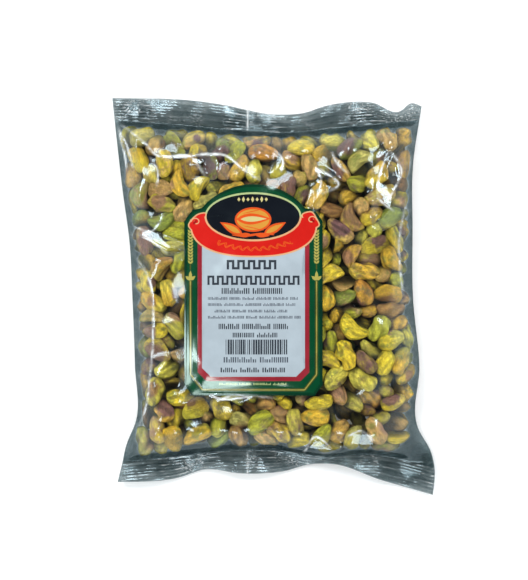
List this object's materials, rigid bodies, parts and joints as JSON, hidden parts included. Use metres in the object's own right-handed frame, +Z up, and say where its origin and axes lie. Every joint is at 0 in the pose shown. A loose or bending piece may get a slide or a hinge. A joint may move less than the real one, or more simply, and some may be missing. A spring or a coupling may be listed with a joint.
{
  "type": "bag of shelled pistachio kernels",
  "caption": "Sealed clear pillow bag with crimped end strips and a lapped back seam, filled with shelled pistachio kernels, with a die-cut front label.",
  "frame": {"origin": "on the surface that the bag lies on, under the middle of its outline", "axes": "+Z up out of the label, +Y towards the top crimped strip, +X towards the label's right side"},
  "size_m": [0.1862, 0.2294, 0.0301],
  "materials": {
    "clear_film": "clear glossy packaging film, greyer where its two layers meet",
    "pistachio": "wrinkled matt nut flesh, yellow-green with purple-brown skin",
    "label_print": "printed satin label, green with a pale panel"
  },
  "bodies": {
    "root": {"bag_film": "clear_film", "pistachio_kernels": "pistachio", "front_label": "label_print"}
  },
  "joints": []
}
